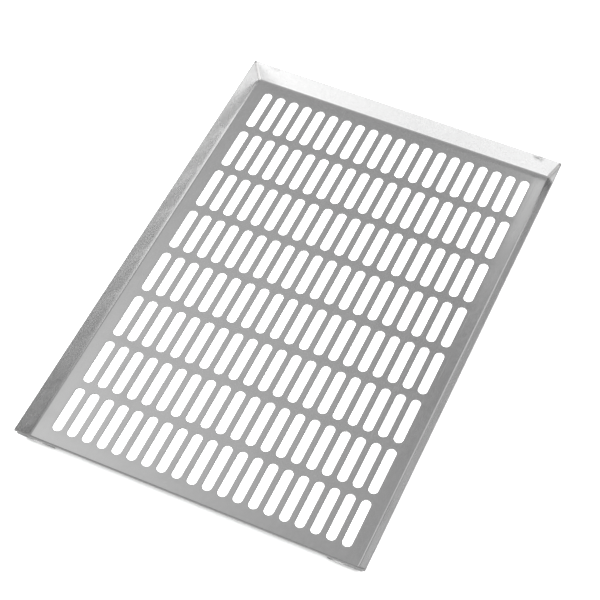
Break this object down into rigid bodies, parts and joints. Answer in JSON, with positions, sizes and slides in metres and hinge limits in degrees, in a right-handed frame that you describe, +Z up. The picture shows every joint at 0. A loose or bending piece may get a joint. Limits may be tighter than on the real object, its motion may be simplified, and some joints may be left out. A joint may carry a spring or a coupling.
{
  "type": "slotted baguette baking tray",
  "caption": "Shallow rectangular stainless baking tray with a slotted floor and four leaning walls, for baking baguettes with air passing under them.",
  "frame": {"origin": "middle of the floor's flat underside", "axes": "+X across the tray to the right, +Y along it to the back, +Z up"},
  "size_m": [0.4, 0.6, 0.02],
  "materials": {
    "stainless": "satin rolled stainless sheet with a fine grain along its length and light handling marks",
    "weld": "brushed-off weld bead with a little heat tint"
  },
  "bodies": {
    "root": {"slotted_pan": "stainless", "seam_weld_front_left": "weld", "tab_weld_front_left": "weld", "seam_weld_front_right": "weld", "tab_weld_front_right": "weld", "seam_weld_back_left": "weld", "tab_weld_back_left": "weld", "seam_weld_back_right": "weld", "tab_weld_back_right": "weld"}
  },
  "joints": []
}
